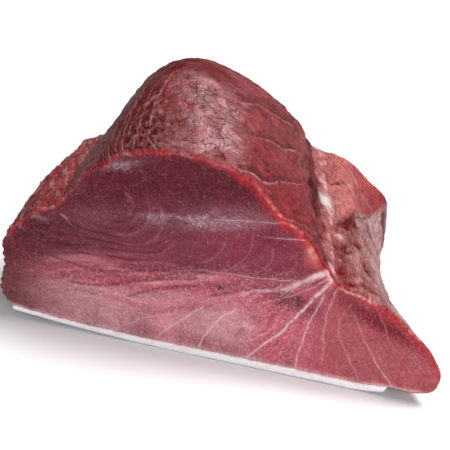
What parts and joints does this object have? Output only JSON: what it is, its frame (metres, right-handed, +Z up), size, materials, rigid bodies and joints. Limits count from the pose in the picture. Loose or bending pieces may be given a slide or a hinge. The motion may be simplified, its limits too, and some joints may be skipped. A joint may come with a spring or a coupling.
{
  "type": "bluefin tuna loin block",
  "caption": "Raw tuna loin block lying skin side down: ringed front cut, rounded hump, valley with pale septum, tapering side lobe, white fat band over silver skin.",
  "frame": {"origin": "on the board under the middle of the block's bounding box", "axes": "+X along the front cut from the blunt heel to the thin tip, +Y from the front cut to the back cut, +Z up"},
  "size_m": [0.3542, 0.1962, 0.185],
  "materials": {
    "tuna_flesh": "moist raw red muscle with dark rings and pale septa",
    "white_fat": "moist white fat with a faint pink tint",
    "silver_skin": "moist silver grey fish skin"
  },
  "bodies": {
    "root": {"loin_flesh": "tuna_flesh", "fat_layer": "white_fat", "silver_skin": "silver_skin"}
  },
  "joints": []
}
